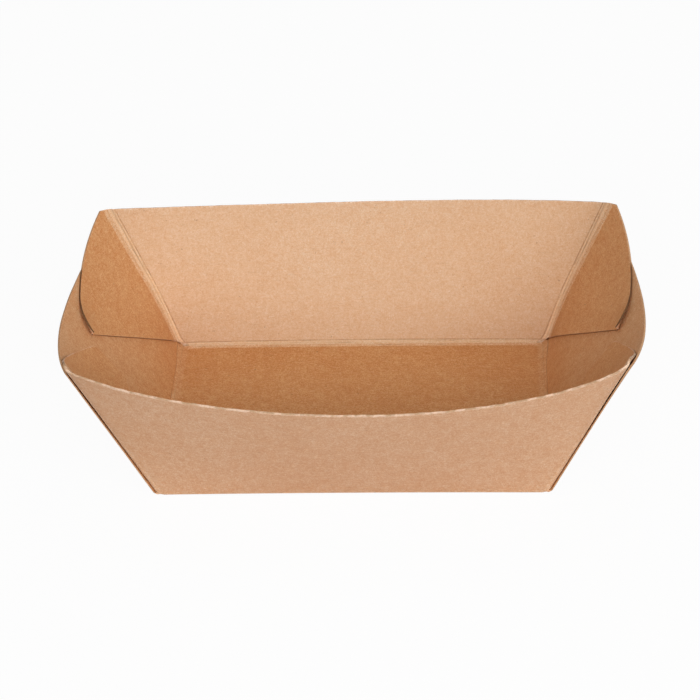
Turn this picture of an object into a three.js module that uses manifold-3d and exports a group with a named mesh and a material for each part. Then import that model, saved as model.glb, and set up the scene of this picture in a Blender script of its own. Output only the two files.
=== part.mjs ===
// Folded paper food tray: one sheet of kraft board, in millimetres, +Z up.
// The base lies in the XY plane with its long side along X and its front towards -Y.
// The blank is a base with four walls. Each end of a long wall carries a flap, which
// is folded in and glued inside the end wall. All four walls bow out at the rim.

import * as THREE from 'three';
import { mergeVertices } from 'three/addons/utils/BufferGeometryUtils.js';
import Module from 'manifold-3d';

const wasm = await Module();
wasm.setup();

// Board
const boardThickness = 0.5;
const foldWidth = 1.8;        // width of the pressed band that turns every corner
const glueGap = 0.15;         // slit between a flap and its end wall, beside the glue
const glueBite = 0.15;        // how far a glue pad reaches into both boards

// Base
const baseLength = 100;
const baseDepth = 68;

// Corners, at the middle of the board
const cornerHeight = 41.8;    // top of the corner folds above the table
const frontRimLength = 138.4; // between the two corner folds
const backRimLength = 133.8;
const frontFlare = 2.6;       // how far the corner folds lean out in depth
const backFlare = 4.2;

// Rims
const longBow = 13;           // how far the middle of a long rim stands out
const longSag = 6.2;          // how far the middle of a long rim hangs down
const longFullness = 0.73;    // 1 is a parabola, less is fuller near the corners
const endBow = 9.5;
const endBowSkew = 0.12;      // the front half bows more by this share, the rear half less
const endSag = 3.3;
const endRimDrop = 2.8;       // end rims start this far below the corner folds

// Flaps, measured inwards and downwards from the top of their corner fold
const backFlap = {
  topRun: 2.9, topDrop: -1.1, reach: 39.9, tipDrop: 10.9, footDrop: 16,
  roundRun: 4.4, roundDrop: 3.3,
};
const frontFlap = {
  topRun: 2.8, topDrop: 1.5, reach: 33.2, tipDrop: 16.3, footDrop: 27,
  roundRun: 2, roundDrop: 1,
};
const flapStartHeight = 1.6;  // where the lower edge of a flap leaves its corner fold

// Glue pads, as shares of a flap's length and height
const pad = { start: 0.14, end: 0.84, low: 0.16, high: 0.78 };

// Mesh steps
const longColumns = 22;
const endColumns = 14;
const wallRows = 6;
const flapColumns = 9;
const roundColumns = 4;
const padColumns = 7;
const padRows = 5;

const kraft = new THREE.MeshStandardMaterial({ color: 0xc9986c, roughness: 0.9, metalness: 0 });

// Places that follow from the sizes. Heights in the formulas start at the base fold.
const halfBand = foldWidth / 2;
const foldLevel = boardThickness / 2;
const wallHeight = cornerHeight - foldLevel;
const flapInset = boardThickness + glueGap;
const sides = {
  front: { sign: -1, rimLength: frontRimLength, flare: frontFlare, flap: frontFlap },
  back: { sign: 1, rimLength: backRimLength, flare: backFlare, flap: backFlap },
};

const mix = (a, b, share) => a + (b - a) * share;
const bow = (across) => Math.max(0, 1 - across * across);
const sideAt = (y) => (y < 0 ? sides.front : sides.back);
const cornerY = (side, height) => baseDepth / 2 + side.flare * height / wallHeight;

// A sheet is its middle surface: shared points and faces that all show their inner side.
function newSheet() {
  return { points: [], faces: [] };
}

function addPoint(sheet, point) {
  sheet.points.push(point);
  return sheet.points.length - 1;
}

// Joins neighbouring rows of point numbers with faces. Flipped turns them over.
function addStrip(sheet, rows, flipped) {
  for (let r = 0; r + 1 < rows.length; r += 1) {
    for (let c = 0; c + 1 < rows[r].length; c += 1) {
      const loop = [rows[r][c], rows[r][c + 1], rows[r + 1][c + 1], rows[r + 1][c]];
      if (flipped) loop.reverse();
      sheet.faces.push([loop[0], loop[1], loop[2]], [loop[0], loop[2], loop[3]]);
    }
  }
}

// Corner-weighted normals, lengthened at folds so that the board keeps its thickness.
// Points of the base keep its faces level.
function offsetsOf(sheet) {
  const sums = sheet.points.map(() => new THREE.Vector3());
  const angles = sheet.points.map(() => 0);
  const triangle = new THREE.Triangle();
  const normal = new THREE.Vector3();
  for (const face of sheet.faces) {
    const corners = face.map((index) => sheet.points[index]);
    triangle.set(...corners);
    triangle.getNormal(normal);
    face.forEach((index, k) => {
      const one = corners[(k + 1) % 3].clone().sub(corners[k]);
      const two = corners[(k + 2) % 3].clone().sub(corners[k]);
      const angle = one.angleTo(two);
      sums[index].addScaledVector(normal, angle);
      angles[index] += angle;
    });
  }
  return sums.map((sum, i) => {
    const offset = sum.clone().multiplyScalar(angles[i] / sum.lengthSq());
    const inBase = sheet.points[i].z === foldLevel;
    return inBase ? offset.divideScalar(offset.z) : offset;
  });
}

// Gives a sheet its thickness and closes it along its free edges.
function thicken(sheet, thickness) {
  const offsets = offsetsOf(sheet);
  const count = sheet.points.length;
  const move = (sign) => sheet.points.map(
    (point, i) => point.clone().addScaledVector(offsets[i], sign * thickness / 2));
  const points = [...move(1), ...move(-1)];
  const edges = new Set();
  for (const [a, b, c] of sheet.faces) {
    edges.add(`${a},${b}`).add(`${b},${c}`).add(`${c},${a}`);
  }
  const faces = [];
  for (const [a, b, c] of sheet.faces) {
    faces.push([a, b, c], [c + count, b + count, a + count]);
  }
  for (const edge of edges) {
    const [a, b] = edge.split(',').map(Number);
    if (edges.has(`${b},${a}`)) continue;
    faces.push([a + count, b + count, b], [a + count, b, a]);
  }
  return toSolid(points, faces);
}

function toSolid(points, faces) {
  const geometry = new THREE.BufferGeometry();
  geometry.setAttribute('position', new THREE.Float32BufferAttribute(
    points.flatMap((point) => point.toArray()), 3));
  geometry.setIndex(faces.flat());
  const merged = mergeVertices(geometry);
  return new wasm.Manifold(new wasm.Mesh({
    numProp: 3,
    vertProperties: new Float32Array(merged.attributes.position.array),
    triVerts: new Uint32Array(merged.index.array),
  }));
}

// Long walls: straight lines from the base fold to a rim that bows out and sags.
function longWallPoint(side, share, rise) {
  const footX = share * (baseLength / 2 - flapInset - halfBand);
  const rimX = share * (side.rimLength / 2 - halfBand);
  const fullness = Math.pow(bow(rimX / (side.rimLength / 2)), longFullness);
  const rimY = cornerY(side, wallHeight) + longBow * fullness;
  return new THREE.Vector3(
    mix(footX, rimX, rise),
    side.sign * mix(baseDepth / 2, rimY, rise),
    foldLevel + rise * (wallHeight - longSag * fullness));
}

// End walls: X from the depth and the height above the base fold.
function endWallX(y, height) {
  const across = y / cornerY(sideAt(y), height);
  const rimLength = mix(frontRimLength, backRimLength, (across + 1) / 2);
  const lean = (rimLength / 2 + flapInset - baseLength / 2) / wallHeight;
  const fullness = bow(across) * (1 - endBowSkew * across);
  return baseLength / 2 + height * (lean + endBow / wallHeight * fullness);
}

// A point on an end wall, moved inwards by the given depth of board.
function endWallPoint(end, y, height, inwards) {
  const step = 0.01;
  const x = endWallX(y, height);
  const slopeY = (endWallX(y + step, height) - endWallX(y - step, height)) / (2 * step);
  const slopeZ = (endWallX(y, height + step) - endWallX(y, height - step)) / (2 * step);
  const normal = new THREE.Vector3(1, -slopeY, -slopeZ).normalize();
  const point = new THREE.Vector3(x, y, height + foldLevel).addScaledVector(normal, -inwards);
  point.x *= end;
  return point;
}

// Height of a flap's upper edge at a distance inwards from the top of its fold.
function flapTop(flap, inwards) {
  if (inwards < flap.topRun) {
    return wallHeight - flap.topDrop * inwards / flap.topRun;
  }
  const along = (inwards - flap.topRun) / (flap.reach - flap.topRun);
  const left = (flap.reach - inwards) / flap.roundRun;
  const turn = Math.min(1, Math.max(0, 1 - left));
  const rounding = flap.roundDrop * (1 - Math.sqrt(1 - turn * turn));
  return wallHeight - mix(flap.topDrop, flap.tipDrop, along) - rounding;
}

// A point of a flap: inwards along its length, rise from its lower to its upper edge.
function flapPoint(side, end, inwards, rise, depth) {
  const { flap } = side;
  const along = (inwards - halfBand) / (flap.reach - halfBand);
  const startY = cornerY(side, flapStartHeight) - halfBand;
  const topY = cornerY(side, wallHeight) - inwards;
  const tipY = cornerY(side, wallHeight) - flap.reach;
  const lowY = mix(startY, tipY, along);
  const lowZ = mix(flapStartHeight, wallHeight - flap.footDrop, along);
  const y = side.sign * mix(lowY, topY, rise);
  return endWallPoint(end, y, mix(lowZ, flapTop(flap, inwards), rise), depth);
}

// Distances from the corner fold at which a flap has a column of points.
function flapStations(flap) {
  const stations = [halfBand];
  const straight = flap.reach - flap.roundRun;
  for (let i = 0; i < flapColumns; i += 1) {
    stations.push(mix(flap.topRun, straight, i / flapColumns));
  }
  for (let i = 0; i <= roundColumns; i += 1) {
    const turn = Math.sin(i / roundColumns * Math.PI / 2);
    stations.push(mix(straight, flap.reach, turn));
  }
  return stations;
}

function evenShares(steps) {
  return Array.from({ length: steps + 1 }, (unused, i) => i / steps);
}

function makeBase(sheet) {
  return evenShares(endColumns).map((v) => evenShares(longColumns).map((u) => {
    const x = mix(-1, 1, u) * (baseLength / 2 - halfBand);
    const y = mix(-1, 1, v) * (baseDepth / 2 - halfBand);
    return addPoint(sheet, new THREE.Vector3(x, y, foldLevel));
  }));
}

// Rows of a wall above its fold band, from the top of the band to the rim.
function wallRises() {
  return evenShares(wallRows - 1).map((share) => mix(halfBand / wallHeight, 1, share));
}

function addLongWall(sheet, side, baseRow) {
  const rows = wallRises().map((rise) => evenShares(longColumns).map(
    (u) => addPoint(sheet, longWallPoint(side, mix(-1, 1, u), rise))));
  addStrip(sheet, [baseRow, ...rows], side.sign < 0);
  return rows;
}

function addFlap(sheet, side, end, wallRowsOfSide) {
  const stations = flapStations(side.flap);
  const rows = wallRowsOfSide.map((row, r) => {
    const rise = r / (wallRowsOfSide.length - 1);
    const fold = end < 0 ? row[0] : row[row.length - 1];
    const points = stations.map((inwards) => addPoint(
      sheet, flapPoint(side, end, inwards, rise, flapInset)));
    return [fold, ...points];
  });
  addStrip(sheet, rows, side.sign * end < 0);
}

function addEndWall(sheet, end, baseColumn) {
  const rows = wallRises().map((rise) => evenShares(endColumns).map((v) => {
    const across = mix(-1, 1, v);
    const rimHeight = wallHeight - endRimDrop - endSag * bow(across);
    const height = rise * rimHeight;
    const y = across * cornerY(sideAt(across), height);
    return addPoint(sheet, endWallPoint(end, y, height, 0));
  }));
  addStrip(sheet, [baseColumn, ...rows], end > 0);
}

// The glue between a flap and its end wall, which makes them one body.
function gluePad(side, end) {
  const sheet = newSheet();
  const rows = evenShares(padRows).map((v) => evenShares(padColumns).map((u) => {
    const inwards = side.flap.reach * mix(pad.start, pad.end, u);
    const rise = mix(pad.low, pad.high, v);
    return addPoint(sheet, flapPoint(side, end, inwards, rise, flapInset / 2));
  }));
  addStrip(sheet, rows, side.sign * end < 0);
  return thicken(sheet, glueGap + 2 * glueBite);
}

function foldedBoard() {
  const sheet = newSheet();
  const base = makeBase(sheet);
  addStrip(sheet, base, false);
  const frontRows = addLongWall(sheet, sides.front, base[0]);
  const backRows = addLongWall(sheet, sides.back, base[endColumns]);
  for (const end of [-1, 1]) {
    addFlap(sheet, sides.front, end, frontRows);
    addFlap(sheet, sides.back, end, backRows);
    addEndWall(sheet, end, base.map((row) => (end < 0 ? row[0] : row[longColumns])));
  }
  return thicken(sheet, boardThickness);
}

function gluedTray() {
  let tray = foldedBoard();
  for (const side of Object.values(sides)) {
    for (const end of [-1, 1]) tray = tray.add(gluePad(side, end));
  }
  return tray;
}

function toMesh(name, solid, material) {
  const { vertProperties, triVerts, numProp } = solid.getMesh();
  const geometry = new THREE.BufferGeometry();
  const positions = [];
  for (let i = 0; i < vertProperties.length; i += numProp) {
    positions.push(...vertProperties.slice(i, i + 3));
  }
  geometry.setAttribute('position', new THREE.Float32BufferAttribute(positions, 3));
  geometry.setIndex([...triVerts]);
  geometry.computeVertexNormals();
  const mesh = new THREE.Mesh(geometry, material);
  mesh.name = name;
  return mesh;
}

// The origin is under the middle of the whole tray, so the base moves by half the
// difference of the two flares.
const tray = new THREE.Group();
const foldedTray = toMesh('folded_tray', gluedTray(), kraft);
foldedTray.position.y = (frontFlare - backFlare) / 2;
tray.add(foldedTray);

export default tray;
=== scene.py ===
"""Dresses the folded paper tray: a fine mesh of the one sheet, kraft materials, floor, light and camera."""
import math

import bpy
import numpy as np
from mathutils import Matrix, Vector
from mathutils.kdtree import KDTree


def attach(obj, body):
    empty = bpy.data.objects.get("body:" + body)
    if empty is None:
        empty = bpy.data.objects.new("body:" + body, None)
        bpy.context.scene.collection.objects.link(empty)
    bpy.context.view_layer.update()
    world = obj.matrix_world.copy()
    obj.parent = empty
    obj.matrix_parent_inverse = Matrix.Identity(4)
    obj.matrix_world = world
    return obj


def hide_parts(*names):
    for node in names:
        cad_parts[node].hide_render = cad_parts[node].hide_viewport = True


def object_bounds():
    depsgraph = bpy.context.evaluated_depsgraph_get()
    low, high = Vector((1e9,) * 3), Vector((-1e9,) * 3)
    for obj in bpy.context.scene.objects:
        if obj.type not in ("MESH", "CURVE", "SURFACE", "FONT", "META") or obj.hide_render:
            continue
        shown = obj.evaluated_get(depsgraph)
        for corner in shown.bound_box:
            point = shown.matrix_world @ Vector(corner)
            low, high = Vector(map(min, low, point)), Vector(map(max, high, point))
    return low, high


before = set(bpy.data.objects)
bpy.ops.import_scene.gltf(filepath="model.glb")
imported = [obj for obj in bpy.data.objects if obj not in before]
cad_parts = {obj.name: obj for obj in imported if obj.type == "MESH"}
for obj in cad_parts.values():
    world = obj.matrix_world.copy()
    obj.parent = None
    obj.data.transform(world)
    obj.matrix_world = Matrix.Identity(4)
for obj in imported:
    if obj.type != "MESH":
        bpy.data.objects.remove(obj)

CAD_BOX = [list(corner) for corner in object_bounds()]

# Sizes of the tray, in millimetres, as in the solid
BOARD = 0.5
FOLD_WIDTH = 1.8
GLUE_GAP = 0.15
BASE_LENGTH = 100.0
BASE_DEPTH = 68.0
CORNER_HEIGHT = 41.8
LONG_BOW = 13.0
LONG_SAG = 6.2
LONG_FULLNESS = 0.73
END_BOW = 9.5
END_BOW_SKEW = 0.12
END_SAG = 3.3
END_RIM_DROP = 2.8
FLAP_START_HEIGHT = 1.6
FRONT = {
    "sign": -1, "rim_length": 138.4, "flare": 2.6, "skew": 0.086, "tilt": 0.0, "wear": 0.08,
    "flap": {"top_run": 2.8, "top_drop": 1.5, "reach": 33.2, "tip_drop": 16.3, "foot_drop": 27.0,
             "round_run": 2.0, "round_drop": 1.0},
}
BACK = {
    "sign": 1, "rim_length": 133.8, "flare": 4.2, "skew": 0.0, "tilt": 0.77, "wear": 0.03,
    "flap": {"top_run": 2.9, "top_drop": -1.1, "reach": 39.9, "tip_drop": 10.9, "foot_drop": 14.4,
             "round_run": 4.4, "round_drop": 3.3},
}
# "skew" and "tilt" make one half of a long rim a little fuller or higher than the other, and "wear" is
# the unevenness of the cut rim

# Finer forms that only this mesh has, in millimetres where they aren't shares
COCKLE = 0.07                 # waviness of the walls
COCKLE_RISE = 1 / 3           # the waves are whole from this share of a wall's height
COCKLE_SIDE = 1 / 8           # and from this share of a long wall's half length, beside its corner folds
LONG_WAVE_SQUEEZE = 1.2       # the waves are this much closer up a long wall
END_WAVE_SQUEEZE = 1.3        # and this much closer along an end wall
END_WAVE_START = 2.0
END_WEAR = 0.04               # unevenness of the end rims
LONG_WEAR_SPAN = 70.0         # about half the length of a long rim, over which its unevenness runs
END_WEAR_SPAN = 38.0          # and of an end rim
RIM_RIPPLE = 2.9              # waves in a cut rim, in radians for each millimetre along it
RIM_BEAT = 1.13
RIM_SWELL = 0.47
RIM_SWELL_SHARE = 0.6
RIM_LOWERING = 0.5            # share of the unevenness by which the whole rim is lower
TIP_LIFT = 1.0                # how far a rear flap's tip stands off the end wall
TIP_LIFT_RUN = 9.0
LIFT_AT_FOOT = 0.05           # share of that lift at the flap's lower edge
FRONT_LIFT = 0.55             # how far a front flap stands off beside its corner fold
FRONT_LIFT_RUN = 12.0
FRONT_LIFT_START = 1 / 3      # share of the flap's height from which it stands off
PRESSED_BOARD = 0.06          # thickness of a front flap where the glue press has crushed it
CRUSHED_EDGE = 0.28           # thickness of an end wall at its side edges
SIDE_CRUSH = 0.05             # share of the end wall's half width over which it thins
CORNER_PRESS = 1.3            # how far the feet of the rear corner folds are pressed outwards
CORNER_PRESS_HEIGHT = 17.0
CORNER_PRESS_POWER = 1.3      # how the press fades upwards
CORNER_LAP = 0.45             # how far an end wall laps the foot of a rear corner fold
BEAD = 0.17                   # height of the bead that a fold pushes up on its inner side
BEAD_DIP = 0.15               # share of it by which the bead's two sides dip
BASE_ARCH = 0.35              # how far the middle of the long base folds lifts off the table

# Along the edges and folds, in millimetres where they aren't shares
PRESS_START = 9.0             # a front flap is pressed flat from here on, over the run
PRESS_RUN = 15.0
PRESSED_GAP_SHARE = 0.2       # share of the glue gap that the press leaves
CORNER_PRESS_REACH = (9.0, 8.0)   # how far the pressed foot of a corner fold spreads, in X and Y
CORNER_PRESS_RISE = 1.4       # height over which it starts, above the base
CORNER_LAP_HEIGHT = 2.0       # the lap is whole up to here and fades over the run
CORNER_LAP_RUN = 4.0
WALL_FOOT_SPREAD = 0.7        # at its foot a corner fold's band is wider by 1 / this, on the wall
FLAP_FOOT_SPREAD = 0.8        # and on the flap
REAR_EDGE_HIDES = 20.0        # from here on, a rear flap's upper edge lies in shadow, which is painted dark
REAR_EDGE_RUN = 4.0
LOWER_EDGE_START = 2.0        # and from here on its lower edge, away from the corner fold
LOWER_EDGE_RUN = 3.0
END_BEAD_SHARE = 1 / 3        # the folds of the end walls push up less than the long ones
MITRE_LIMIT = 1.3             # longest offset of a face at a sharp fold, in thicknesses
LONG_SLANT = 1.03             # length along a wall for each millimetre of height
END_SLANT = 1.1
WAVES = (                     # across, up, start and share of each wave in the walls
    (0.071, 0.043, 0.0, 0.5),
    (0.13, -0.09, 1.3, 0.3),
    (-0.19, 0.17, 2.1, 0.2),
    (0.31, 0.11, 4.4, 0.12),
)

# How much painted shade a panel has: its inside takes the darker, redder sheltered colour, most at the base
# and the feet of the end walls
BASE_PAINTED_SHADE = 1.0
FLAP_PAINTED_SHADE = 0.9
END_FOOT_PAINTED_SHADE = 0.95
END_RIM_PAINTED_SHADE = 0.6

# Look of a cut edge: pale on the long rims, brown where it faces up, and painted shadow, near black, where
# it lies in shadow
EDGE_PALE = 0.0
EDGE_BROWN = 0.5
# the side edges of an end wall are brown with part painted shadow
END_SIDE_EDGE_PART_SHADOW = 0.7
EDGE_SHADED = 0.75
EDGE_IN_SHADOW = 0.9

# Mesh steps
LONG_COLUMNS = 120
END_COLUMNS = 70
WALL_ROWS = 26
BAND_STEPS = 8
START_COLUMNS = 3
FLAP_COLUMNS = 44
ROUND_COLUMNS = 10
SHARP_ANGLE = 50.0            # edges sharper than this are shaded as edges, in degrees
NEARLY_ZERO = 1e-12

MM = 0.001
HALF_BAND = FOLD_WIDTH / 2
FOLD_LEVEL = BOARD / 2
WALL_HEIGHT = CORNER_HEIGHT - FOLD_LEVEL
FLAP_INSET = BOARD + GLUE_GAP
CENTRE_SHIFT = (FRONT["flare"] - BACK["flare"]) / 2
BAND_SHARES = np.arange(1, BAND_STEPS) / BAND_STEPS   # where a fold band has its inner lines, as shares
FAR = 30.0                    # stands for "no fold near here"

# What each point of the sheet carries, with its value where nothing else is said
POINT_VALUES = {
    "thick": BOARD,             # thickness of the board
    "bead": 0.0,                # height of a fold's bead on the inner side
    "corner_fold": FAR,         # distance from the corner fold, negative on its wall
    "foot_fold": FAR,           # distance from the base fold, negative on the base
    "deep_tone": 0.0,           # share of the painted shade colour on the inside
    "end_fold": 0.0,            # 1 beside the folds of the end walls
    "edge_tone": EDGE_PALE,     # look of the cut edge, and its painted shadow
}

# Kraft colours, linear
TONE_SHARES = (0.42, 1.05, 1.75)   # how strongly light and dark spots show in each channel
KRAFT_OUTSIDE = (0.535, 0.303, 0.172, 1)
KRAFT_INSIDE = (0.650, 0.408, 0.242, 1)
# painted shade: the darker, redder colour of the sheltered inside faces
KRAFT_PAINTED_SHADE = (0.630, 0.283, 0.098, 1)
KRAFT_PALE = (0.86, 0.57, 0.34, 1)
KRAFT_FUZZ = (0.80, 0.57, 0.41, 1)
KRAFT_EDGE = (0.54, 0.34, 0.20, 1)
KRAFT_BROWN_EDGE = (0.60, 0.34, 0.18, 1)
# painted shadow on cut edges that lie in shadow, such as the crevice at a rear flap's tip
KRAFT_SHADOW_EDGE = (0.13, 0.060, 0.025, 1)
# painted shade in the valleys and cracks of the folds
KRAFT_CREASE_SHADE = (0.38, 0.165, 0.062, 1)
KRAFT_DARK = (0.29, 0.130, 0.048, 1)

# Noise in the kraft face: scale, detail and roughness, and how far it moves the tone up and down
NOISE_SPAN = (0.3, 0.7)       # most of a noise lies in here
GRAIN = (3600, 3, 0.65)
GRAIN_DEPTH = 0.14
MOTTLE = (1500, 3, 0.6)
MOTTLE_DEPTH = 0.08
PATCHES = (420, 3, 0.55)
PATCH_DEPTH = 0.035
CLOUDS = (45, 2, 0.5)
CLOUD_DEPTH = 0.02
SPECKS = (1100, 1, 0.5)
SPECK_SPAN = (0.74, 0.80)     # specks show where the noise passes this span
SPECK_STRENGTH = 0.5
OUTSIDE_CONTRAST = 1.3        # power of the tone outside, where it is 1 inside
SHADED_PANEL_CONTRAST = 1.05          # and what the panels with painted shade add to it

# Fibres: directions in radians, scale, and the span of noise from beside a fibre to on it
PALE_FIBRES = ((0.15, 0.9, 1.7, 2.6), 330, 0.62, 0.74)
PALE_FIBRE_STRENGTH = 0.22
DARK_FIBRES = ((0.5, 1.3, 2.2, 2.9), 290, 0.64, 0.76)
DARK_FIBRE_STRENGTH = 0.16
FIBRE_SQUEEZE = (1, 9, 1)
FIBRE_NOISE = (2, 0.5, 0.6)   # detail, roughness and distortion

# Folds: bands and valleys by their centre and half width, and a band also by its plateau, in millimetres
CORNER_BAND = (0.5, 1.9, 1.5)
FOOT_BAND = (-0.5, 1.7, 1.25)
CORNER_VALLEY = (-1.2, 0.3)
FOOT_VALLEY = (1.0, 0.3)
CORNER_LESSER_VALLEY = (-0.45, 0.16)
FOOT_LESSER_VALLEY = (-0.3, 0.18)
END_FOLD_FAINTNESS = 0.8      # share by which the folds of the end walls are fainter
STREAK_ALONG = 0.10           # scale of the cracks along and across a fold
STREAK_ACROSS = 2.6
STREAK_NOISE = (1.0, 4, 0.7, 0.8)
STREAK_TURN = (1.5, 1.8)      # the cracks turn from one fold's direction to the other's here
SCUFF_OUTSIDE = 0.2           # how much paler a scuffed fold is
SCUFF_INSIDE = 0.65
SCUFF_LEAST = 0.55
SCUFF_SPAN = (0.34, 0.5)
LESSER_SHARE = 0.45           # strength of the lesser valleys and of the cracks
CRACK_SHARE = 0.9
CRACK_SPAN = (0.56, 0.66)
VALLEY_SHADE_STRENGTH = 0.7
VALLEY_LEAST = 0.45           # a valley fades to this in patches
VALLEY_SPAN = (0.35, 0.6)

# Frayed fibres beside a cut, and the cut edge itself
FRAY_STRENGTH = 0.6
FRAY_SPAN = (-0.15, 0.2)      # distance from the cut, in millimetres
FRAY_RAGGEDNESS = 0.5
FRAY_PATCHES = (260, 3, 0.6)
FRAY_LEAST = 0.35
FRAY_PATCH_SPAN = (0.38, 0.6)
FRAY_BROWN_OR_SHADOW = 0.15              # what is left of it where the edge is brown or painted in shadow
FRAY_BROWN_OR_SHADOW_SPAN = (0.0, 0.45)
EDGE_FUZZ = (1900, 4, 0.7)
EDGE_FUZZ_TONES = (0.86, 1.12)
EDGE_PATCHES = (420, 3, 0.6)
EDGE_PATCH_SPAN = (0.42, 0.62)
BROWN_EDGE_SPAN = (0.1, 0.45)     # values of the edge attribute over which an edge turns brown, and then to painted shadow
SHADOW_EDGE_SPAN = (0.55, 0.95)
EDGE_ROUGHNESS = 0.95
EDGE_SPECULAR = 0.2

# Relief of the kraft face: height of each part, and of the whole in metres
GRAIN_RELIEF = 0.5
FIBRE_RELIEF = 0.4
MOTTLE_RELIEF = 0.5
VALLEY_RELIEF = -1.6
RIDGE_RELIEF = 1.2
BUMP_STRENGTH = 0.6
FACE_BUMP = 0.00012
EDGE_BUMP = 0.0002
FACE_ROUGHNESS = (0.62, 0.74)
FACE_SPECULAR = 0.45

# Camera, from a fit to the photograph, in millimetres and degrees, about the middle of the base
CAMERA_ELEVATION = 34.0
CAMERA_YAW = -3.912
CAMERA_ROLL = -2.725
CAMERA_DISTANCE = 650.0
CAMERA_TARGET = (-1.165, 0.0, 21.171)
CAMERA_FOCAL_PIXELS = 2503.555
FRAME_PIXELS = 700
SENSOR_WIDTH = 36.0
CLIP_START = 0.01             # in metres

# Light, in metres and watts
WHITE = (1, 1, 1, 1)
WORLD_LIGHT = 0.2
FLOOR_WHITE_SHARE = 0.95
FLOOR_GREY = (0.8, 0.8, 0.8, 1)
FLOOR_SIZE = 6.0
LAMP_SIZE = 0.7
LAMP_AIM = (0, 0, 0.02)
LAMPS = (
    ("front", (0.0, -1.02, 0.64), 8.6),
    ("front_right", (0.77, -0.77, 0.51), 5.6),
    ("front_left", (-0.77, -0.77, 0.51), 0.9),
    ("behind", (0.0, 0.60, 1.04), 1.2),
)


def mix(a, b, share):
    return a + (b - a) * share


def smooth(share):
    s = np.clip(share, 0, 1)
    return s * s * (3 - 2 * s)


def bow(across):
    return np.maximum(0, 1 - across * across)


def corner_y(side, height):
    return BASE_DEPTH / 2 + side["flare"] * height / WALL_HEIGHT


def arch(share):
    """Lift of the base between its corners, which alone rest on the table."""
    return BASE_ARCH * bow(share)


def cockle(u, v, phase):
    """A few long waves, as board takes them up from damp. u and v in millimetres."""
    total = 1
    for across, up, start, share in WAVES:
        total = total + share * np.sin(across * u + up * v + start + phase)
    return COCKLE * total


def rim_wear(along):
    """Shape of a cut rim's unevenness, by the distance along it in millimetres."""
    ripple = np.sin(RIM_RIPPLE * along) * np.sin(RIM_BEAT * along + 1)
    return ripple + RIM_SWELL_SHARE * np.sin(RIM_SWELL * along) - RIM_LOWERING


class Sheet:
    """The middle surface of the board: points with their place in the flat blank, and what they carry."""

    def __init__(self):
        self.points = []
        self.blank = []
        self.values = {name: [] for name in POINT_VALUES}
        self.quads = []
        self.triangles = []
        self.count = 0

    def add(self, points, blank, **values):
        """Adds a grid of points and returns their numbers as a grid."""
        rows, columns = points.shape[:2]
        total = rows * columns
        self.points.append(points.reshape(total, 3))
        self.blank.append(blank.reshape(total, 2))
        for name, value in {**POINT_VALUES, **values}.items():
            self.values[name].append(np.broadcast_to(value, (rows, columns)).reshape(total))
        numbers = np.arange(self.count, self.count + total).reshape(rows, columns)
        self.count += total
        return numbers

    def join(self, numbers, flipped):
        """Faces between neighbouring rows and columns of point numbers."""
        a, b = numbers[:-1, :-1], numbers[:-1, 1:]
        c, d = numbers[1:, 1:], numbers[1:, :-1]
        loops = np.stack([a, b, c, d], -1).reshape(-1, 4)
        self.quads.append(loops[:, ::-1] if flipped else loops)


def stack(*parts):
    return np.stack(np.broadcast_arrays(*parts), -1).astype(float)


def long_wall(side, foot_share, rim_share, rise):
    """Points of a long wall: straight lines from the base fold to a rim that bows out and sags."""
    foot_x = foot_share * (BASE_LENGTH / 2 - FLAP_INSET)
    rim_x = rim_share * side["rim_length"] / 2
    fullness = bow(rim_share) ** LONG_FULLNESS * (1 + side["skew"] * rim_share)
    rim_y = corner_y(side, WALL_HEIGHT) + LONG_BOW * fullness
    x = mix(foot_x, rim_x, rise)
    y = mix(BASE_DEPTH / 2, rim_y, rise)
    rim_z = WALL_HEIGHT + (side["tilt"] * rim_share - LONG_SAG) * fullness
    z = FOLD_LEVEL + arch(foot_share) * (1 - rise) + rise * rim_z
    fade = smooth(rise / COCKLE_RISE) * smooth((1 - np.abs(rim_share)) / COCKLE_SIDE)
    y = y - fade * cockle(x, z * LONG_WAVE_SQUEEZE, side["sign"])
    return stack(x, side["sign"] * y, z)


def end_wall_x(y, height):
    """How far out an end wall stands at a depth and a height."""
    half = np.where(y < 0, corner_y(FRONT, height), corner_y(BACK, height))
    across = y / half
    rim_length = mix(FRONT["rim_length"], BACK["rim_length"], (across + 1) / 2)
    lean = (rim_length / 2 + FLAP_INSET - BASE_LENGTH / 2) / WALL_HEIGHT
    fullness = bow(across) * (1 - END_BOW_SKEW * across)
    return BASE_LENGTH / 2 + height * (lean + END_BOW / WALL_HEIGHT * fullness)


def end_wall(end, y, height, inwards):
    """A point of an end wall, moved inwards by the given depth of board."""
    step = 0.01
    x = end_wall_x(y, height)
    slope_y = (end_wall_x(y + step, height) - end_wall_x(y - step, height)) / (2 * step)
    slope_z = (end_wall_x(y, height + step) - end_wall_x(y, height - step)) / (2 * step)
    normal = stack(1.0, -slope_y, -slope_z)
    normal /= np.linalg.norm(normal, axis=-1, keepdims=True)
    fade = smooth(height / WALL_HEIGHT / COCKLE_RISE)
    wave = fade * cockle(y * END_WAVE_SQUEEZE, height, END_WAVE_START + end)
    point = stack(x, y, height + FOLD_LEVEL) - normal * (inwards + wave)[..., None]
    point[..., 0] *= end
    return point


def flap_top(sizes, inwards):
    """Height of a flap's upper edge at a distance inwards from the top of its fold."""
    start = -sizes["top_drop"] * inwards / sizes["top_run"]
    along = (inwards - sizes["top_run"]) / (sizes["reach"] - sizes["top_run"])
    turn = np.clip(1 - (sizes["reach"] - inwards) / sizes["round_run"], 0, 1)
    rounding = sizes["round_drop"] * (1 - np.sqrt(1 - turn * turn))
    rest = -mix(sizes["top_drop"], sizes["tip_drop"], along) - rounding
    return WALL_HEIGHT + np.where(inwards < sizes["top_run"], start, rest)


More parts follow.
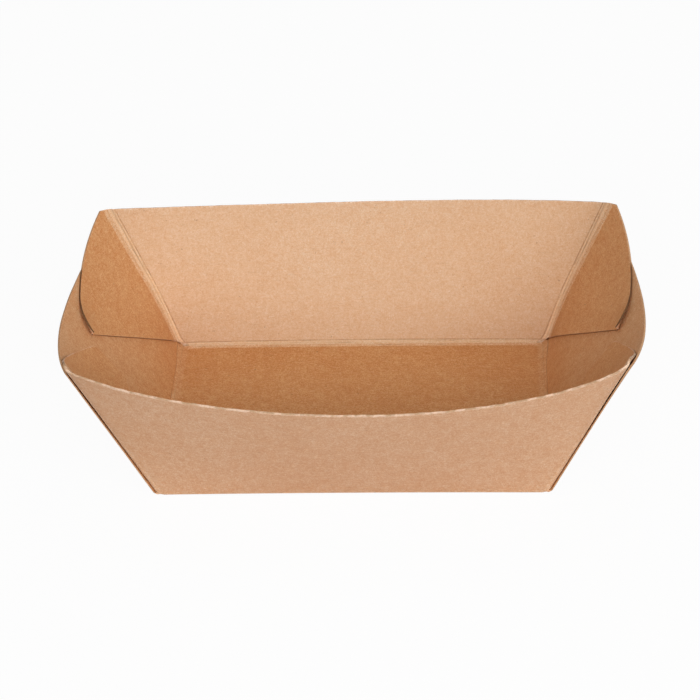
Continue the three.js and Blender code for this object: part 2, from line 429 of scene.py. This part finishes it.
def flap_lift(side, inwards, rise):
    """How far a flap stands off the end wall, beyond the glue gap."""
    sizes = side["flap"]
    if side is BACK:
        near_tip = smooth((inwards - sizes["reach"] + TIP_LIFT_RUN) / TIP_LIFT_RUN)
        return TIP_LIFT * near_tip * mix(LIFT_AT_FOOT, 1.0, rise)
    near_fold = 1 - smooth(inwards / FRONT_LIFT_RUN)
    return FRONT_LIFT * near_fold * smooth((rise - FRONT_LIFT_START) / (1 - FRONT_LIFT_START))


def flap_place(side, inwards, rise):
    """Depth and height on the end wall of a flap's point."""
    sizes = side["flap"]
    along = (inwards - HALF_BAND) / (sizes["reach"] - HALF_BAND)
    start_y = corner_y(side, FLAP_START_HEIGHT) - HALF_BAND
    top_y = corner_y(side, WALL_HEIGHT) - inwards
    tip_y = corner_y(side, WALL_HEIGHT) - sizes["reach"]
    low_y = mix(start_y, tip_y, along)
    low_z = mix(FLAP_START_HEIGHT, WALL_HEIGHT - sizes["foot_drop"], along)
    return mix(low_y, top_y, rise), mix(low_z, flap_top(sizes, inwards), rise)


def pressed(inwards):
    """Share by which the glue press has flattened a front flap, away from its corner fold."""
    return smooth((inwards - PRESS_START) / PRESS_RUN)


def flap_thickness(side, inwards):
    if side is BACK:
        return np.full_like(inwards, BOARD)
    return mix(BOARD, PRESSED_BOARD, pressed(inwards))


def flap(side, end, inwards, rise):
    """Points of a flap: it lies on the end wall, over the glue gap."""
    y, height = flap_place(side, inwards, rise)
    gap = GLUE_GAP if side is BACK else GLUE_GAP * mix(1, PRESSED_GAP_SHARE, pressed(inwards))
    depth = BOARD / 2 + gap + flap_thickness(side, inwards) / 2 + flap_lift(side, inwards, rise)
    return end_wall(end, side["sign"] * y, height, depth)


def fold_curve(start, corner, finish):
    """The inner lines of a round fold band, which starts and ends on its panels and cuts their corner."""
    t = BAND_SHARES.reshape(-1, *([1] * start.ndim))
    return (1 - t) ** 2 * start + 2 * t * (1 - t) * corner + t ** 2 * finish


def band_across():
    """Distances of a fold band's inner lines from the middle of the fold."""
    return mix(-HALF_BAND, HALF_BAND, BAND_SHARES)


def band_bead():
    """Height of the bead at a fold band's inner lines."""
    return BEAD * ((1 + BEAD_DIP) * np.sin(np.pi * BAND_SHARES) ** 2 - BEAD_DIP)


def wall_rises():
    """Heights of a wall's rows from the top of its fold band to the rim, as shares of its height."""
    return mix(HALF_BAND / WALL_HEIGHT, 1, np.linspace(0, 1, WALL_ROWS + 1))


def press_corners(points):
    """Moves the crushed feet of the rear corner folds outwards, with all that lies around them."""
    x, y, z = points[:, 0], points[:, 1], points[:, 2]
    reach_x, reach_y = CORNER_PRESS_REACH
    far = ((np.abs(x) - BASE_LENGTH / 2) / reach_x) ** 2 + ((y - BASE_DEPTH / 2) / reach_y) ** 2
    fade = np.clip(1 - (z - FLAP_START_HEIGHT) / CORNER_PRESS_HEIGHT, 0, 1) ** CORNER_PRESS_POWER
    push = CORNER_PRESS * np.exp(-far) * fade * smooth((z - FOLD_LEVEL) / CORNER_PRESS_RISE)
    return points + stack(np.sign(x) * push, 0.0, 0.0)


def points_of(sheet, numbers):
    """The points that have these numbers so far."""
    return np.concatenate(sheet.points)[numbers]


def add_base(sheet):
    u = np.linspace(-1, 1, LONG_COLUMNS + 1)
    v = np.linspace(-1, 1, END_COLUMNS + 1)
    x = u * (BASE_LENGTH / 2 - HALF_BAND)
    y = v * (BASE_DEPTH / 2 - HALF_BAND)
    gx, gy = np.meshgrid(x, y)
    inside = np.minimum(BASE_LENGTH / 2 - np.abs(gx), BASE_DEPTH / 2 - np.abs(gy))
    lift = arch(gx / (BASE_LENGTH / 2)) * (gy / (BASE_DEPTH / 2)) ** 2
    nearer_end = BASE_LENGTH / 2 - np.abs(gx) < BASE_DEPTH / 2 - np.abs(gy)
    return sheet.add(stack(gx, gy, FOLD_LEVEL + lift), stack(gx, gy), foot_fold=-inside,
                     deep_tone=BASE_PAINTED_SHADE, end_fold=nearer_end.astype(float))


def add_long_wall(sheet, side, base_row):
    """Fold band and wall. Returns the rows of point numbers from the band's top to the rim."""
    u = np.linspace(-1, 1, LONG_COLUMNS + 1)
    foot_share = u * (1 - HALF_BAND / (BASE_LENGTH / 2 - FLAP_INSET))
    rim_share = u * (1 - HALF_BAND / (side["rim_length"] / 2))
    rises = wall_rises()[:, None]
    wall = long_wall(side, foot_share[None], rim_share[None], rises)
    wall[-1, :, 2] += side["wear"] * rim_wear(u * LONG_WEAR_SPAN + side["sign"])
    base_line = points_of(sheet, base_row)
    fold_line = stack(foot_share * (BASE_LENGTH / 2 - FLAP_INSET), side["sign"] * BASE_DEPTH / 2,
                      FOLD_LEVEL + arch(u))
    band = fold_curve(base_line, fold_line, wall[0])
    half_width = mix(BASE_LENGTH / 2 - FLAP_INSET, side["rim_length"] / 2, rises)
    corner = -(half_width - np.abs(wall[..., 0])) * fold_spread(WALL_FOOT_SPREAD, rises)
    slant = rises * WALL_HEIGHT * LONG_SLANT
    blank = stack(wall[..., 0], side["sign"] * (BASE_DEPTH / 2 + slant))
    across = band_across()[:, None]
    band_blank = stack(band[..., 0], side["sign"] * (BASE_DEPTH / 2 + across))
    bead = band_bead()[:, None]
    band_rows = sheet.add(band, band_blank, bead=bead, foot_fold=across, corner_fold=corner[0])
    wall_rows = sheet.add(wall, blank, foot_fold=slant, corner_fold=corner)
    sheet.join(np.concatenate([base_row[None], band_rows, wall_rows]), side["sign"] < 0)
    return band_rows, wall_rows


def flap_stations(sizes):
    """Distances of a flap's columns from the top of its corner fold."""
    straight = sizes["reach"] - sizes["round_run"]
    first = np.linspace(HALF_BAND, sizes["top_run"], START_COLUMNS, endpoint=False)
    middle = np.linspace(sizes["top_run"], straight, FLAP_COLUMNS, endpoint=False)
    turn = np.sin(np.linspace(0, math.pi / 2, ROUND_COLUMNS + 1))
    return np.concatenate([first, middle, mix(straight, sizes["reach"], turn)])


def fold_spread(foot_share, rises):
    """Makes the pressed band of a corner fold wider at its foot: distances count less there."""
    return mix(foot_share, 1.0, np.sqrt(rises))


def flap_edge_look_and_shadow(side, stations, rows):
    """Look of a flap's cut edges, with painted shadow at its tip, on most of its lower edge and on a rear
    flap's far upper edge. The grid's first row is the lower edge and its last column the tip.
    """
    tone = np.full((rows, stations.size), EDGE_SHADED)
    tone[0] = EDGE_SHADED * smooth((stations - LOWER_EDGE_START) / LOWER_EDGE_RUN)
    tone[1:, -1] = EDGE_IN_SHADOW
    top_in_shadow = smooth((stations - REAR_EDGE_HIDES) / REAR_EDGE_RUN)
    tone[-1] = mix(EDGE_BROWN, EDGE_IN_SHADOW, top_in_shadow) if side is BACK else EDGE_PALE
    return tone


def add_flap(sheet, side, end, wall_rows):
    """A flap and the corner fold that joins it to its long wall."""
    rows = wall_rows.shape[0]
    rises = np.linspace(0, 1, rows)[:, None]
    stations = flap_stations(side["flap"])[None]
    points = flap(side, end, np.broadcast_to(stations, (rows, stations.size)), rises)
    wall_edge_numbers = wall_rows[:, 0] if end < 0 else wall_rows[:, -1]
    wall_points = points_of(sheet, wall_edge_numbers)
    ends = np.full(rows, float(end))
    one = long_wall(side, ends, ends, wall_rises())
    two = flap(side, end, np.zeros(rows), rises[:, 0])
    band = fold_curve(wall_points, (one + two) / 2, points[:, 0]).transpose(1, 0, 2)
    across = band_across()
    heights = wall_rises()[:, None] * WALL_HEIGHT * LONG_SLANT
    edge_x = end * (np.abs(wall_points[:, :1]) + HALF_BAND)
    blank_y = side["sign"] * (BASE_DEPTH / 2 + heights)
    band_blank = stack(edge_x + end * across, blank_y)
    blank = stack(edge_x + end * stations, blank_y)
    band_numbers = sheet.add(band, band_blank, bead=band_bead(), corner_fold=across, foot_fold=heights)
    thick = flap_thickness(side, np.broadcast_to(stations, points.shape[:2]))
    from_fold = stations * fold_spread(FLAP_FOOT_SPREAD, rises)
    numbers = sheet.add(points, blank, thick=thick, corner_fold=from_fold, foot_fold=heights,
                        deep_tone=FLAP_PAINTED_SHADE, edge_tone=flap_edge_look_and_shadow(side, stations[0], rows))
    grid = np.concatenate([wall_edge_numbers[:, None], band_numbers, numbers], 1)
    sheet.join(grid, side["sign"] * end < 0)


def side_thickness(v):
    """Thickness of an end wall, which the die has crushed at its side edges."""
    return mix(BOARD, CRUSHED_EDGE, smooth((np.abs(v) - 1 + SIDE_CRUSH) / SIDE_CRUSH))


def add_end_wall(sheet, end, base_column):
    v = np.linspace(-1, 1, END_COLUMNS + 1)[None]
    rises = wall_rises()[:, None]
    height = rises * (WALL_HEIGHT - END_RIM_DROP - END_SAG * bow(v))
    half = np.where(v < 0, corner_y(FRONT, height), corner_y(BACK, height))
    y = v * half + CORNER_LAP * (v == 1) * (1 - smooth((height - CORNER_LAP_HEIGHT) / CORNER_LAP_RUN))
    wall = end_wall(end, y, height, np.zeros_like(y))
    wall[-1, :, 2] += END_WEAR * rim_wear(v[0] * END_WEAR_SPAN + end)
    base_line = points_of(sheet, base_column)
    fold_line = stack(end * BASE_LENGTH / 2, v[0] * BASE_DEPTH / 2, FOLD_LEVEL)
    band = fold_curve(base_line, fold_line, wall[0])
    across = band_across()[:, None]
    slant = rises * WALL_HEIGHT * END_SLANT
    blank = stack(end * (BASE_LENGTH / 2 + slant), y)
    band_blank = stack(end * (BASE_LENGTH / 2 + across), band[..., 1])
    bead = band_bead()[:, None] * END_BEAD_SHARE
    # rims brown, side edges brown with part painted shadow
    edge_tone = np.where(np.abs(v) < 1, EDGE_BROWN, END_SIDE_EDGE_PART_SHADOW)
    band_rows = sheet.add(band, band_blank, bead=bead, foot_fold=across,
                          deep_tone=END_FOOT_PAINTED_SHADE, end_fold=1.0)
    wall_rows = sheet.add(wall, blank, thick=side_thickness(v), foot_fold=slant, end_fold=1.0,
                          deep_tone=mix(END_FOOT_PAINTED_SHADE, END_RIM_PAINTED_SHADE, rises), edge_tone=edge_tone)
    sheet.join(np.concatenate([base_column[None], band_rows, wall_rows]), end > 0)
    return band_rows, wall_rows[0]


def add_corner(sheet, tip, one, two, flipped):
    """The crushed corner of the base, between the ends of two fold bands that meet in one point."""
    sheet.join(np.stack([one, two], 1), flipped)
    sheet.triangles.append((tip, one[0], two[0]) if flipped else (tip, two[0], one[0]))


def folded_sheet():
    sheet = Sheet()
    base = add_base(sheet)
    sheet.join(base, False)
    front_wall = add_long_wall(sheet, FRONT, base[0])
    back_wall = add_long_wall(sheet, BACK, base[-1])
    for end in (-1, 1):
        column = 0 if end < 0 else -1
        end_band, end_row = add_end_wall(sheet, end, base[:, column])
        for side, (band, rows) in ((FRONT, front_wall), (BACK, back_wall)):
            add_flap(sheet, side, end, rows)
            place = 0 if side is FRONT else -1
            one = np.append(band[:, column], rows[0, column])
            two = np.append(end_band[:, place], end_row[place])
            add_corner(sheet, base[place, column], one, two, side["sign"] * end > 0)
    return sheet


def point_normals(points, quads):
    """Mean normal at each point, lengthened at folds so that the board keeps its thickness."""
    corners = points[quads]
    normals = np.cross(corners[:, 2] - corners[:, 0], corners[:, 3] - corners[:, 1])
    normals /= np.maximum(np.linalg.norm(normals, axis=1, keepdims=True), NEARLY_ZERO)
    total = np.zeros_like(points)
    weight = np.zeros(len(points))
    for k in range(4):
        np.add.at(total, quads[:, k], normals)
        np.add.at(weight, quads[:, k], 1)
    length = np.linalg.norm(total, axis=1)
    return total * np.minimum(weight / length ** 2, MITRE_LIMIT / length)[:, None]


def free_edges(quads, triangles):
    """Edges of the sheet that have a face on one side only: its cut edges."""
    quad_pairs = [quads[:, [k, (k + 1) % 4]] for k in range(4)]
    triangle_pairs = [triangles[:, [k, (k + 1) % 3]] for k in range(3)]
    pairs = np.concatenate(quad_pairs + triangle_pairs)
    big = quads.max() + 1
    keys = pairs[:, 0].astype(np.int64) * big + pairs[:, 1]
    back = pairs[:, 1].astype(np.int64) * big + pairs[:, 0]
    return pairs[~np.isin(keys, back)]


def cut_distance(points, edges):
    """Distance of each point from the nearest cut edge, in millimetres."""
    rim = np.unique(edges)
    tree = KDTree(len(rim))
    for number, point in enumerate(points[rim]):
        tree.insert(point, number)
    tree.balance()
    return np.array([tree.find(point)[2] for point in points])


def make_tray():
    """The closed fine mesh of the board, with its cut edges in a material of their own."""
    sheet = folded_sheet()
    points = press_corners(np.concatenate(sheet.points))
    quads = np.concatenate(sheet.quads)
    values = {name: np.concatenate(stored) for name, stored in sheet.values.items()}
    normals = point_normals(points, quads)
    count = len(points)
    inner = points + normals * (values["thick"] / 2 + values["bead"])[:, None]
    outer = points - normals * (values["thick"] / 2)[:, None]
    triangles = np.array(sheet.triangles)
    edges = free_edges(quads, triangles)
    sides = np.stack([edges[:, 0] + count, edges[:, 1] + count, edges[:, 1], edges[:, 0]], -1)
    faces = np.concatenate([quads, quads[:, ::-1] + count, sides]).tolist()
    faces += triangles.tolist() + (triangles[:, ::-1] + count).tolist()
    everything = np.concatenate([inner, outer])
    everything[:, 1] += CENTRE_SHIFT
    everything = np.clip(everything, np.array(CAD_BOX[0]) / MM, np.array(CAD_BOX[1]) / MM)
    mesh = bpy.data.meshes.new("kraft_tray_sheet")
    mesh.from_pydata((everything * MM).tolist(), [], faces)
    kinds = [0] * (2 * len(quads)) + [1] * len(sides) + [0] * (2 * len(triangles))
    mesh.polygons.foreach_set("material_index", kinds)
    blank = np.concatenate(sheet.blank)
    add_uv(mesh, np.tile(blank, (2, 1)) * MM)
    for name in ("corner_fold", "foot_fold", "deep_tone", "end_fold", "edge_tone"):
        add_number(mesh, name, np.tile(values[name], 2))
    add_number(mesh, "run_along", np.tile(blank.sum(1), 2))
    add_number(mesh, "inner_side", np.repeat([1.0, 0.0], count))
    add_number(mesh, "cut_distance", np.tile(cut_distance(points, edges), 2))
    mesh.validate()
    mesh.shade_smooth()
    mesh.set_sharp_from_angle(angle=math.radians(SHARP_ANGLE))
    tray = bpy.data.objects.new("kraft_tray_sheet", mesh)
    bpy.context.scene.collection.objects.link(tray)
    return tray


def add_uv(mesh, blank):
    layer = mesh.uv_layers.new(name="blank")
    corner_points = np.zeros(len(mesh.loops), dtype=np.int32)
    mesh.loops.foreach_get("vertex_index", corner_points)
    layer.uv.foreach_set("vector", blank[corner_points].astype(np.float32).ravel())


def add_number(mesh, name, values):
    layer = mesh.attributes.new(name=name, type="FLOAT", domain="POINT")
    layer.data.foreach_set("value", values.astype(np.float32))


class Nodes:
    """Short calls for building a material's node tree."""

    def __init__(self, name):
        self.material = bpy.data.materials.new(name)
        self.material.use_nodes = True
        self.tree = self.material.node_tree
        self.shader = self.tree.nodes["Principled BSDF"]

    def make(self, kind, **settings):
        node = self.tree.nodes.new(kind)
        for key, value in settings.items():
            setattr(node, key, value)
        return node

    def link(self, source, target):
        self.tree.links.new(source, target)

    def fill(self, socket, value):
        if isinstance(value, bpy.types.NodeSocket):
            self.link(value, socket)
        else:
            socket.default_value = value

    def math(self, operation, *values):
        node = self.make("ShaderNodeMath", operation=operation)
        for socket, value in zip(node.inputs, values):
            self.fill(socket, value)
        return node.outputs[0]

    def noise(self, vector, scale, detail=2.0, roughness=0.5, distortion=0.0):
        node = self.make("ShaderNodeTexNoise")
        self.link(vector, node.inputs["Vector"])
        node.inputs["Scale"].default_value = scale
        node.inputs["Detail"].default_value = detail
        node.inputs["Roughness"].default_value = roughness
        node.inputs["Distortion"].default_value = distortion
        return node.outputs["Fac"]

    def stretched(self, vector, angle, squeeze):
        node = self.make("ShaderNodeMapping")
        self.link(vector, node.inputs["Vector"])
        node.inputs["Rotation"].default_value = (0, 0, angle)
        node.inputs["Scale"].default_value = squeeze
        return node.outputs["Vector"]

    def ramp(self, value, low, high, from_low=0.0, from_high=1.0):
        node = self.make("ShaderNodeMapRange", interpolation_type="SMOOTHSTEP")
        self.fill(node.inputs["Value"], value)
        node.inputs["From Min"].default_value = from_low
        node.inputs["From Max"].default_value = from_high
        node.inputs["To Min"].default_value = low
        node.inputs["To Max"].default_value = high
        return node.outputs["Result"]

    def blend(self, factor, one, two):
        """Mixes two colours: sockets 6 and 7 of this node are its colours, and output 2 is their mix."""
        node = self.make("ShaderNodeMix", data_type="RGBA")
        self.fill(node.inputs[0], factor)
        self.fill(node.inputs[6], one)
        self.fill(node.inputs[7], two)
        return node.outputs[2]

    def scaled_colour(self, colour, factor):
        node = self.make("ShaderNodeVectorMath", operation="SCALE")
        self.link(colour, node.inputs[0])
        self.fill(node.inputs["Scale"], factor)
        return node.outputs[0]

    def toned_colour(self, colour, tone):
        """Kraft pulp is redder where it is darker: the tone acts least on red and most on blue."""
        channels = self.make("ShaderNodeCombineXYZ")
        for socket, share in zip(channels.inputs, TONE_SHARES):
            self.link(self.math("POWER", tone, share), socket)
        node = self.make("ShaderNodeVectorMath", operation="MULTIPLY")
        self.link(colour, node.inputs[0])
        self.link(channels.outputs[0], node.inputs[1])
        return node.outputs[0]

    def spread(self, noise, low, high):
        """Values from low to high over the span that most of a noise takes."""
        return self.ramp(noise, low, high, *NOISE_SPAN)

    def combined(self, operation, values):
        """One value from several, by the same operation again and again."""
        total = values[0]
        for value in values[1:]:
            total = self.math(operation, total, value)
        return total

    def add_bump(self, relief, distance):
        bump = self.make("ShaderNodeBump")
        bump.inputs["Strength"].default_value = BUMP_STRENGTH
        bump.inputs["Distance"].default_value = distance
        self.link(relief, bump.inputs["Height"])
        self.link(bump.outputs["Normal"], self.shader.inputs["Normal"])

    def attribute(self, name):
        return self.make("ShaderNodeAttribute", attribute_name=name).outputs["Fac"]


def stripe(nodes, distance, centre, half_width, plateau=0.0):
    """1 on a line along a fold and on its plateau, falling to 0 at half_width from it, in millimetres."""
    off = nodes.math("ABSOLUTE", nodes.math("SUBTRACT", distance, centre))
    return nodes.ramp(off, 1.0, 0.0, plateau, half_width)


def strokes(nodes, blank, angles, scale, low, high):
    """Sparse short fibres lying in several directions: 1 on a fibre, 0 beside it."""
    layers = []
    for angle in angles:
        field = nodes.noise(nodes.stretched(blank, angle, FIBRE_SQUEEZE), scale, *FIBRE_NOISE)
        layers.append(nodes.ramp(field, 0.0, 1.0, low, high))
    return nodes.combined("MAXIMUM", layers)


def fold_streaks(nodes, along, across):
    """Fine cracks that run along a fold."""
    vector = nodes.make("ShaderNodeCombineXYZ")
    nodes.link(nodes.math("MULTIPLY", along, STREAK_ALONG), vector.inputs[0])
    nodes.link(nodes.math("MULTIPLY", across, STREAK_ACROSS), vector.inputs[1])
    return nodes.noise(vector.outputs[0], *STREAK_NOISE)


def kraft_face():
    nodes = Nodes("kraft_face")
    place = nodes.make("ShaderNodeTexCoord").outputs["Object"]
    blank = nodes.make("ShaderNodeUVMap", uv_map="blank").outputs["UV"]
    corner = nodes.attribute("corner_fold")
    foot = nodes.attribute("foot_fold")
    inner = nodes.attribute("inner_side")
    # painted shade on the sheltered inside panels, which also get a stronger grain
    shaded_panels = nodes.math("MULTIPLY", nodes.attribute("deep_tone"), inner)
    grain = nodes.noise(place, *GRAIN)
    mottle = nodes.noise(place, *MOTTLE)
    patches = nodes.noise(place, *PATCHES)
    clouds = nodes.noise(place, *CLOUDS)
    pale_fibres = strokes(nodes, blank, *PALE_FIBRES)
    dark_fibres = strokes(nodes, blank, *DARK_FIBRES)
    depths = ((grain, GRAIN_DEPTH), (mottle, MOTTLE_DEPTH), (patches, PATCH_DEPTH), (clouds, CLOUD_DEPTH))
    tones = [nodes.spread(noise, 1 - depth, 1 + depth) for noise, depth in depths]
    tone = nodes.combined("MULTIPLY", tones)
    specks = nodes.ramp(nodes.noise(place, *SPECKS), 0.0, SPECK_STRENGTH, *SPECK_SPAN)

    colour = nodes.blend(inner, KRAFT_OUTSIDE, KRAFT_INSIDE)
    colour = nodes.blend(shaded_panels, colour, KRAFT_PAINTED_SHADE)
    colour = nodes.blend(nodes.math("MULTIPLY", pale_fibres, PALE_FIBRE_STRENGTH), colour, KRAFT_PALE)
    colour = nodes.blend(nodes.math("MULTIPLY", dark_fibres, DARK_FIBRE_STRENGTH), colour, KRAFT_DARK)
    colour = nodes.blend(specks, colour, KRAFT_DARK)

    near_corner = nodes.ramp(nodes.math("ABSOLUTE", corner), 1.0, 0.0, *STREAK_TURN)
    foot_streaks = fold_streaks(nodes, nodes.attribute("run_along"), foot)
    streaks = nodes.blend(near_corner, foot_streaks, fold_streaks(nodes, foot, corner))
    band = nodes.math("MAXIMUM", stripe(nodes, corner, *CORNER_BAND), stripe(nodes, foot, *FOOT_BAND))
    faint = nodes.math("MULTIPLY", nodes.attribute("end_fold"), END_FOLD_FAINTNESS)
    band = nodes.math("MULTIPLY", band, nodes.math("SUBTRACT", 1.0, faint))
    scuffed = nodes.math("MULTIPLY", band, nodes.ramp(streaks, SCUFF_LEAST, 1.0, *SCUFF_SPAN))
    scuff_strength = nodes.ramp(inner, SCUFF_OUTSIDE, SCUFF_INSIDE)
    colour = nodes.blend(nodes.math("MULTIPLY", scuffed, scuff_strength), colour, KRAFT_PALE)
    lesser = [stripe(nodes, corner, *CORNER_LESSER_VALLEY), stripe(nodes, foot, *FOOT_LESSER_VALLEY)]
    cracks = nodes.math("MULTIPLY", band, nodes.ramp(streaks, 0.0, 1.0, *CRACK_SPAN))
    valleys = nodes.combined("MAXIMUM", [
        stripe(nodes, corner, *CORNER_VALLEY),
        stripe(nodes, foot, *FOOT_VALLEY),
        nodes.math("MULTIPLY", nodes.combined("MAXIMUM", lesser), LESSER_SHARE),
        nodes.math("MULTIPLY", cracks, CRACK_SHARE),
    ])
    valleys = nodes.math("MULTIPLY", valleys, nodes.ramp(patches, VALLEY_LEAST, 1.0, *VALLEY_SPAN))
    valleys = nodes.math("MULTIPLY", valleys, inner)
    # painted shade in the fold valleys and cracks on the inner side; the bump also dents them
    colour = nodes.blend(nodes.math("MULTIPLY", valleys, VALLEY_SHADE_STRENGTH), colour, KRAFT_CREASE_SHADE)

    ragged = nodes.math("MULTIPLY", mottle, FRAY_RAGGEDNESS)
    cut = nodes.math("SUBTRACT", nodes.attribute("cut_distance"), ragged)
    frayed = nodes.combined("MULTIPLY", [
        nodes.ramp(cut, FRAY_STRENGTH, 0.0, *FRAY_SPAN),
        nodes.ramp(nodes.noise(place, *FRAY_PATCHES), FRAY_LEAST, 1.0, *FRAY_PATCH_SPAN),
        nodes.ramp(nodes.attribute("edge_tone"), 1.0, FRAY_BROWN_OR_SHADOW, *FRAY_BROWN_OR_SHADOW_SPAN),
    ])
    colour = nodes.blend(frayed, colour, KRAFT_FUZZ)
    side_contrast = nodes.ramp(inner, OUTSIDE_CONTRAST, 1.0)
    contrast = nodes.math("ADD", nodes.math("MULTIPLY", shaded_panels, SHADED_PANEL_CONTRAST), side_contrast)
    tone = nodes.math("POWER", tone, contrast)
    nodes.link(nodes.toned_colour(colour, tone), nodes.shader.inputs["Base Color"])

    ridges = nodes.math("MULTIPLY", scuffed, streaks)
    heights = ((grain, GRAIN_RELIEF), (pale_fibres, FIBRE_RELIEF), (mottle, MOTTLE_RELIEF),
               (valleys, VALLEY_RELIEF), (ridges, RIDGE_RELIEF))
    relief = nodes.combined("ADD", [nodes.math("MULTIPLY", part, height) for part, height in heights])
    nodes.add_bump(relief, FACE_BUMP)
    nodes.link(nodes.spread(mottle, *FACE_ROUGHNESS), nodes.shader.inputs["Roughness"])
    nodes.shader.inputs["Specular IOR Level"].default_value = FACE_SPECULAR
    return nodes.material


def cut_edge():
    nodes = Nodes("kraft_cut_edge")
    place = nodes.make("ShaderNodeTexCoord").outputs["Object"]
    fuzz = nodes.noise(place, *EDGE_FUZZ)
    patches = nodes.noise(place, *EDGE_PATCHES)
    colour = nodes.blend(nodes.ramp(patches, 0.0, 1.0, *EDGE_PATCH_SPAN), KRAFT_EDGE, KRAFT_FUZZ)
    tone = nodes.attribute("edge_tone")
    colour = nodes.blend(nodes.ramp(tone, 0.0, 1.0, *BROWN_EDGE_SPAN), colour, KRAFT_BROWN_EDGE)
    # painted shadow on the edges that lie in shadow
    colour = nodes.blend(nodes.ramp(tone, 0.0, 1.0, *SHADOW_EDGE_SPAN), colour, KRAFT_SHADOW_EDGE)
    spotted = nodes.scaled_colour(colour, nodes.spread(fuzz, *EDGE_FUZZ_TONES))
    nodes.link(spotted, nodes.shader.inputs["Base Color"])
    nodes.add_bump(fuzz, EDGE_BUMP)
    nodes.shader.inputs["Roughness"].default_value = EDGE_ROUGHNESS
    nodes.shader.inputs["Specular IOR Level"].default_value = EDGE_SPECULAR
    return nodes.material


def add_camera():
    elevation, yaw, roll = map(math.radians, (CAMERA_ELEVATION, CAMERA_YAW, CAMERA_ROLL))
    level = math.cos(elevation)
    forward = Vector((math.sin(yaw) * level, math.cos(yaw) * level, -math.sin(elevation)))
    right = forward.cross(Vector((0, 0, 1))).normalized()
    up = right.cross(forward)
    tilted_right = right * math.cos(roll) + up * math.sin(roll)
    tilted_up = up * math.cos(roll) - right * math.sin(roll)
    target = Vector(CAMERA_TARGET) + Vector((0, CENTRE_SHIFT, 0))
    place = (target - forward * CAMERA_DISTANCE) * MM
    data = bpy.data.cameras.new("camera")
    data.sensor_width = SENSOR_WIDTH
    data.lens = CAMERA_FOCAL_PIXELS / FRAME_PIXELS * SENSOR_WIDTH
    data.clip_start = CLIP_START
    camera = bpy.data.objects.new("camera", data)
    turn = Matrix((tilted_right, tilted_up, -forward)).transposed().to_4x4()
    camera.matrix_world = Matrix.Translation(place) @ turn
    bpy.context.scene.collection.objects.link(camera)
    bpy.context.scene.camera = camera


def add_lamp(name, place, aim, size, power):
    data = bpy.data.lights.new(name, "AREA")
    data.shape = "DISK"
    data.size = size
    data.energy = power
    lamp = bpy.data.objects.new(name, data)
    lamp.location = place
    lamp.rotation_euler = (Vector(aim) - Vector(place)).to_track_quat("-Z", "Y").to_euler()
    bpy.context.scene.collection.objects.link(lamp)


def add_world():
    world = bpy.data.worlds.new("studio")
    world.use_nodes = True
    tree = world.node_tree
    background = tree.nodes["Background"]
    background.inputs["Color"].default_value = WHITE
    background.inputs["Strength"].default_value = WORLD_LIGHT
    seen = tree.nodes.new("ShaderNodeBackground")
    seen.inputs["Color"].default_value = WHITE
    path = tree.nodes.new("ShaderNodeLightPath")
    either = tree.nodes.new("ShaderNodeMath")
    either.operation = "MAXIMUM"
    tree.links.new(path.outputs["Is Camera Ray"], either.inputs[0])
    tree.links.new(path.outputs["Is Glossy Ray"], either.inputs[1])
    mixer = tree.nodes.new("ShaderNodeMixShader")
    tree.links.new(either.outputs[0], mixer.inputs[0])
    tree.links.new(background.outputs[0], mixer.inputs[1])
    tree.links.new(seen.outputs[0], mixer.inputs[2])
    tree.links.new(mixer.outputs[0], tree.nodes["World Output"].inputs["Surface"])
    bpy.context.scene.world = world


def floor_material():
    """White to the camera, apart from a soft share that keeps the tray's shadow."""
    nodes = Nodes("floor_white")
    nodes.shader.inputs["Base Color"].default_value = FLOOR_GREY
    nodes.shader.inputs["Roughness"].default_value = 1.0
    nodes.shader.inputs["Specular IOR Level"].default_value = 0.0
    glow = nodes.make("ShaderNodeEmission")
    glow.inputs["Strength"].default_value = 1.0
    path = nodes.make("ShaderNodeLightPath")
    share = nodes.math("MULTIPLY", path.outputs["Is Camera Ray"], FLOOR_WHITE_SHARE)
    mixer = nodes.make("ShaderNodeMixShader")
    nodes.link(share, mixer.inputs[0])
    nodes.link(nodes.shader.outputs[0], mixer.inputs[1])
    nodes.link(glow.outputs[0], mixer.inputs[2])
    nodes.link(mixer.outputs[0], nodes.tree.nodes["Material Output"].inputs["Surface"])
    return nodes.material


def add_floor():
    half = FLOOR_SIZE / 2
    corners = [(-half, -half, 0), (half, -half, 0), (half, half, 0), (-half, half, 0)]
    mesh = bpy.data.meshes.new("floor")
    mesh.from_pydata(corners, [], [(0, 1, 2, 3)])
    mesh.materials.append(floor_material())
    floor = bpy.data.objects.new("floor", mesh)
    bpy.context.scene.collection.objects.link(floor)


tray = make_tray()
tray.data.materials.append(kraft_face())
tray.data.materials.append(cut_edge())
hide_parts("folded_tray")
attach(tray, "root")

add_camera()
add_floor()
add_world()
for name, place, power in LAMPS:
    add_lamp(name, place, LAMP_AIM, LAMP_SIZE, power)

scene = bpy.context.scene
scene.view_settings.view_transform = "Standard"
